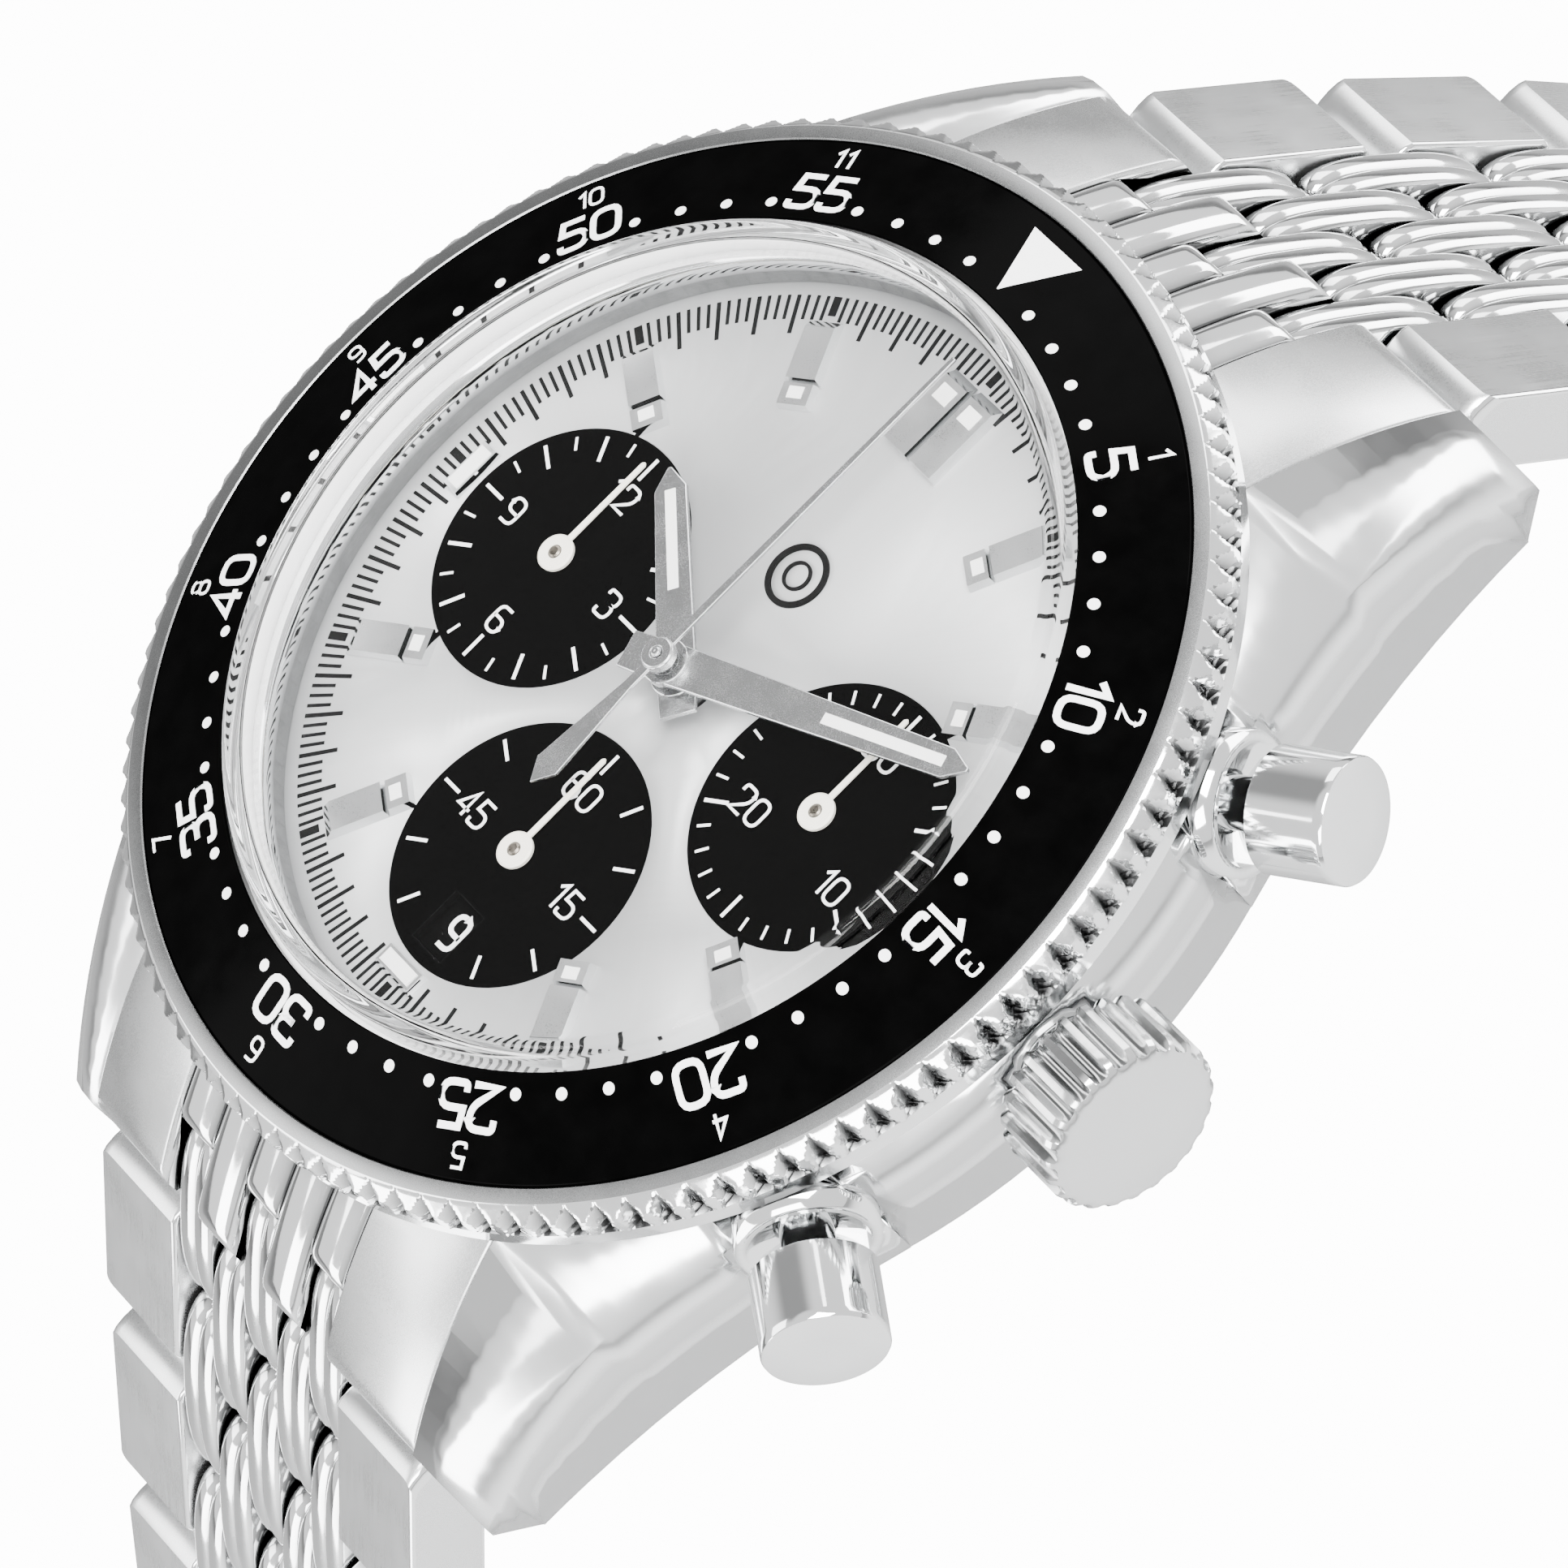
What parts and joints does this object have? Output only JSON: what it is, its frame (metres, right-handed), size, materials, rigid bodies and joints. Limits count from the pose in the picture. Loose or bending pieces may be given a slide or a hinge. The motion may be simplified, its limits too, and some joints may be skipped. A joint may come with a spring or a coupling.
{
  "type": "chronograph wristwatch",
  "caption": "Mechanical chronograph wristwatch: round steel case, turning bezel, domed crystal, sub-dials, pushers, jointed bead bracelet and folding clasp.",
  "frame": {"origin": "on the hand axis at the outer face of the caseback", "axes": "+Z out through the crystal, +Y to 12 o'clock, +X to the crown at 3 o'clock"},
  "size_m": [0.0461, 0.1068, 0.0915],
  "materials": {
    "polished_steel": "polished",
    "brushed_steel": "brushed",
    "satin_steel": "satin",
    "rhodium_plate": "brushed",
    "black_ceramic": "glossy",
    "sapphire": "polished",
    "gasket_nylon": "matte",
    "silver_dial": "satin",
    "date_black": "matte",
    "gilt_brass": "satin",
    "blued_steel": "polished",
    "ruby": "glossy"
  },
  "bodies": {
    "case": {"case_middle": "polished_steel", "caseback": "polished_steel", "caseback_glass": "sapphire", "crystal": "sapphire", "gaskets": "gasket_nylon", "inner_flange": "polished_steel", "case_tubes": "polished_steel", "bezel_click_spring": "satin_steel", "dial": "silver_dial", "hour_markers": "polished_steel", "main_plate": "rhodium_plate", "train_bridge": "rhodium_plate", "balance_cock": "rhodium_plate", "movement_jewels": "ruby", "movement_screws": "blued_steel", "end_links": "brushed_steel", "spring_bars": "satin_steel"},
    "bezel": {"bezel_ring": "polished_steel", "bezel_insert": "black_ceramic"},
    "winding_pinion": {"winding_pinion": "satin_steel"},
    "crown": {"crown": "polished_steel", "winding_stem": "satin_steel"},
    "start_pusher": {"start_pusher": "polished_steel"},
    "reset_pusher": {"reset_pusher": "polished_steel"},
    "hour_hand": {"hour_hand": "polished_steel"},
    "minute_hand": {"minute_hand": "polished_steel"},
    "minute_wheel": {"minute_wheel": "gilt_brass"},
    "chrono_seconds_hand": {"chrono_seconds_hand": "polished_steel"},
    "running_seconds_hand": {"running_seconds_hand": "silver_dial"},
    "minute_counter_hand": {"minute_counter_hand": "silver_dial"},
    "hour_counter_hand": {"hour_counter_hand": "silver_dial"},
    "date_disc": {"date_disc": "date_black"},
    "balance": {"balance_wheel": "gilt_brass", "hairspring": "blued_steel"},
    "pallet_fork": {"pallet_fork": "satin_steel"},
    "escape_wheel": {"escape_wheel": "satin_steel"},
    "rotor": {"rotor": "rhodium_plate"},
    "barrel": {"barrel": "gilt_brass"},
    "bracelet_12_beads_1": {"bracelet_12_beads_1": "polished_steel"},
    "bracelet_12_links_1": {"bracelet_12_links_1": "brushed_steel"},
    "bracelet_12_beads_2": {"bracelet_12_beads_2": "polished_steel"},
    "bracelet_12_links_2": {"bracelet_12_links_2": "brushed_steel"},
    "bracelet_12_beads_3": {"bracelet_12_beads_3": "polished_steel"},
    "bracelet_12_links_3": {"bracelet_12_links_3": "brushed_steel"},
    "bracelet_12_pair_4": {"bracelet_12_pair_4": "brushed_steel"},
    "bracelet_12_pair_5": {"bracelet_12_pair_5": "brushed_steel"},
    "bracelet_12_pair_6": {"bracelet_12_pair_6": "brushed_steel"},
    "bracelet_6_beads_1": {"bracelet_6_beads_1": "polished_steel"},
    "bracelet_6_links_1": {"bracelet_6_links_1": "brushed_steel"},
    "bracelet_6_beads_2": {"bracelet_6_beads_2": "polished_steel"},
    "bracelet_6_links_2": {"bracelet_6_links_2": "brushed_steel"},
    "bracelet_6_beads_3": {"bracelet_6_beads_3": "polished_steel"},
    "bracelet_6_links_3": {"bracelet_6_links_3": "brushed_steel"},
    "bracelet_6_pair_4": {"bracelet_6_pair_4": "brushed_steel"},
    "bracelet_6_pair_5": {"bracelet_6_pair_5": "brushed_steel"},
    "bracelet_6_pair_6": {"bracelet_6_pair_6": "brushed_steel"},
    "clasp_cover": {"clasp_cover": "brushed_steel"},
    "clasp_middle_blade": {"clasp_middle_blade": "polished_steel"},
    "clasp_end_blade": {"clasp_end_blade": "polished_steel"},
    "clasp_safety_flap": {"clasp_safety_flap": "polished_steel"}
  },
  "joints": [
    {"name": "bezel_turn", "type": "hinge", "parent": "case", "child": "bezel", "pos_m": [0, 0, 0.012], "axis": [0, 0, 1], "continuous": true},
    {"name": "crown_turn", "type": "hinge", "parent": "case", "child": "winding_pinion", "pos_m": [0.01, 0, 0.0078], "axis": [1, 0, 0], "continuous": true},
    {"name": "crown_pull", "type": "slide", "parent": "winding_pinion", "child": "crown", "axis": [1, 0, 0], "range_m": [0, 0.0015]},
    {"name": "start_push", "type": "slide", "parent": "case", "child": "start_pusher", "axis": [-0.8746, -0.4848, 0], "range_m": [0, 0.0009]},
    {"name": "reset_push", "type": "slide", "parent": "case", "child": "reset_pusher", "axis": [-0.8746, 0.4848, 0], "range_m": [0, 0.0009]},
    {"name": "minute_hand_turn", "type": "hinge", "parent": "case", "child": "minute_hand", "pos_m": [0, 0, 0.0118], "axis": [0, 0, -1], "continuous": true},
    {"name": "hour_hand_turn", "type": "hinge", "parent": "case", "child": "hour_hand", "pos_m": [0, 0, 0.011], "axis": [0, 0, -1], "continuous": true},
    {"name": "minute_wheel_turn", "type": "hinge", "parent": "case", "child": "minute_wheel", "pos_m": [0, 0.0029, 0.0092], "axis": [0, 0, -1], "continuous": true},
    {"name": "chrono_seconds_turn", "type": "hinge", "parent": "case", "child": "chrono_seconds_hand", "pos_m": [0, 0, 0.0124], "axis": [0, 0, -1], "continuous": true},
    {"name": "minute_counter_turn", "type": "hinge", "parent": "case", "child": "minute_counter_hand", "pos_m": [0.0081, 0, 0.0105], "axis": [0, 0, -1], "continuous": true},
    {"name": "hour_counter_turn", "type": "hinge", "parent": "case", "child": "hour_counter_hand", "pos_m": [-0.0081, 0, 0.0105], "axis": [0, 0, -1], "continuous": true},
    {"name": "running_seconds_turn", "type": "hinge", "parent": "case", "child": "running_seconds_hand", "pos_m": [0, -0.0081, 0.0105], "axis": [0, 0, -1], "continuous": true},
    {"name": "escape_wheel_turn", "type": "hinge", "parent": "case", "child": "escape_wheel", "pos_m": [-0.00263, -0.00906, 0.0047], "axis": [0, 0, -1], "continuous": true},
    {"name": "date_turn", "type": "hinge", "parent": "case", "child": "date_disc", "pos_m": [0, 0, 0.0095], "axis": [0, 0, -1], "continuous": true},
    {"name": "balance_swing", "type": "hinge", "parent": "case", "child": "balance", "pos_m": [-0.0083, -0.0076, 0.0043], "axis": [0, 0, 1], "range_deg": [-150, 150]},
    {"name": "pallet_fork_swing", "type": "hinge", "parent": "case", "child": "pallet_fork", "pos_m": [-0.00486, -0.00848, 0.005], "axis": [0, 0, 1], "range_deg": [-6.5, 6.5]},
    {"name": "rotor_turn", "type": "hinge", "parent": "case", "child": "rotor", "pos_m": [0, 0, 0.0024], "axis": [0, 0, 1], "continuous": true},
    {"name": "barrel_turn", "type": "hinge", "parent": "case", "child": "barrel", "pos_m": [0.0055, 0.0065, 0.005], "axis": [0, 0, 1], "continuous": true},
    {"name": "bracelet_12_beads_1_turn", "type": "hinge", "parent": "case", "child": "bracelet_12_beads_1", "pos_m": [0, 0.02265, 0.00485], "axis": [1, 0, 0], "range_deg": [0, 18]},
    {"name": "bracelet_12_links_1_turn", "type": "hinge", "parent": "bracelet_12_beads_1", "child": "bracelet_12_links_1", "pos_m": [0, 0.02546, 0.00173], "axis": [1, 0, 0], "range_deg": [0, 12]},
    {"name": "bracelet_12_beads_2_turn", "type": "hinge", "parent": "bracelet_12_links_1", "child": "bracelet_12_beads_2", "pos_m": [0, 0.02816, -0.00149], "axis": [1, 0, 0], "range_deg": [0, 12]},
    {"name": "bracelet_12_links_2_turn", "type": "hinge", "parent": "bracelet_12_beads_2", "child": "bracelet_12_links_2", "pos_m": [0, 0.03075, -0.0048], "axis": [1, 0, 0], "range_deg": [0, 12]},
    {"name": "bracelet_12_beads_3_turn", "type": "hinge", "parent": "bracelet_12_links_2", "child": "bracelet_12_beads_3", "pos_m": [0, 0.03321, -0.0082], "axis": [1, 0, 0], "range_deg": [-10, 5]},
    {"name": "bracelet_12_links_3_turn", "type": "hinge", "parent": "bracelet_12_beads_3", "child": "bracelet_12_links_3", "pos_m": [0, 0.03556, -0.01168], "axis": [1, 0, 0], "range_deg": [-14, 4]},
    {"name": "bracelet_12_pair_4_turn", "type": "hinge", "parent": "bracelet_12_links_3", "child": "bracelet_12_pair_4", "pos_m": [0, 0.03779, -0.01524], "axis": [1, 0, 0], "range_deg": [-20, 4]},
    {"name": "bracelet_12_pair_5_turn", "type": "hinge", "parent": "bracelet_12_pair_4", "child": "bracelet_12_pair_5", "pos_m": [0, 0.04199, -0.02251], "axis": [1, 0, 0], "range_deg": [-26, 2]},
    {"name": "bracelet_12_pair_6_turn", "type": "hinge", "parent": "bracelet_12_pair_5", "child": "bracelet_12_pair_6", "pos_m": [0, 0.04593, -0.02993], "axis": [1, 0, 0], "range_deg": [-22, 6]},
    {"name": "bracelet_6_beads_1_turn", "type": "hinge", "parent": "case", "child": "bracelet_6_beads_1", "pos_m": [0, -0.02265, 0.00485], "axis": [-1, 0, 0], "range_deg": [0, 18]},
    {"name": "bracelet_6_links_1_turn", "type": "hinge", "parent": "bracelet_6_beads_1", "child": "bracelet_6_links_1", "pos_m": [0, -0.02506, 0.00141], "axis": [-1, 0, 0], "range_deg": [0, 12]},
    {"name": "bracelet_6_beads_2_turn", "type": "hinge", "parent": "bracelet_6_links_1", "child": "bracelet_6_beads_2", "pos_m": [0, -0.02735, -0.00211], "axis": [-1, 0, 0], "range_deg": [0, 12]},
    {"name": "bracelet_6_links_2_turn", "type": "hinge", "parent": "bracelet_6_beads_2", "child": "bracelet_6_links_2", "pos_m": [0, -0.02957, -0.00567], "axis": [-1, 0, 0], "range_deg": [0, 12]},
    {"name": "bracelet_6_beads_3_turn", "type": "hinge", "parent": "bracelet_6_links_2", "child": "bracelet_6_beads_3", "pos_m": [0, -0.03174, -0.00927], "axis": [-1, 0, 0], "range_deg": [-6, 9]},
    {"name": "bracelet_6_links_3_turn", "type": "hinge", "parent": "bracelet_6_beads_3", "child": "bracelet_6_links_3", "pos_m": [0, -0.03384, -0.01291], "axis": [-1, 0, 0], "range_deg": [-13, 5]},
    {"name": "bracelet_6_pair_4_turn", "type": "hinge", "parent": "bracelet_6_links_3", "child": "bracelet_6_pair_4", "pos_m": [0, -0.03587, -0.01659], "axis": [-1, 0, 0], "range_deg": [-19, 5]},
    {"name": "bracelet_6_pair_5_turn", "type": "hinge", "parent": "bracelet_6_pair_4", "child": "bracelet_6_pair_5", "pos_m": [0, -0.03982, -0.024], "axis": [-1, 0, 0], "range_deg": [-26, 2]},
    {"name": "bracelet_6_pair_6_turn", "type": "hinge", "parent": "bracelet_6_pair_5", "child": "bracelet_6_pair_6", "pos_m": [0, -0.0435, -0.03155], "axis": [-1, 0, 0], "range_deg": [-22, 6]},
    {"name": "clasp_turn", "type": "hinge", "parent": "bracelet_12_pair_6", "child": "clasp_cover", "pos_m": [0, 0.04961, -0.03748], "axis": [1, 0, 0], "range_deg": [0, 20]},
    {"name": "clasp_middle_turn", "type": "hinge", "parent": "clasp_cover", "child": "clasp_middle_blade", "pos_m": [0, 0.05507, -0.07022], "axis": [1, 0, 0], "range_deg": [0, 90]},
    {"name": "clasp_end_turn", "type": "hinge", "parent": "clasp_middle_blade", "child": "clasp_end_blade", "pos_m": [0, 0.05223, -0.0452], "axis": [-1, 0, 0], "range_deg": [0, 100]},
    {"name": "clasp_flap_turn", "type": "hinge", "parent": "clasp_cover", "child": "clasp_safety_flap", "pos_m": [0, 0.05737, -0.06056], "axis": [1, 0, 0], "range_deg": [0, 120]}
  ],
  "couplings": [
    {"joint": "hour_hand_turn", "follows": "minute_hand_turn", "ratio": 0.083333},
    {"joint": "minute_wheel_turn", "follows": "minute_hand_turn", "ratio": -0.33333},
    {"joint": "minute_counter_turn", "follows": "chrono_seconds_turn", "ratio": 0.033333},
    {"joint": "hour_counter_turn", "follows": "chrono_seconds_turn", "ratio": 0.0013889},
    {"joint": "escape_wheel_turn", "follows": "running_seconds_turn", "ratio": -10},
    {"joint": "pallet_fork_swing", "follows": "balance_swing", "ratio": 0.04}
  ]
}
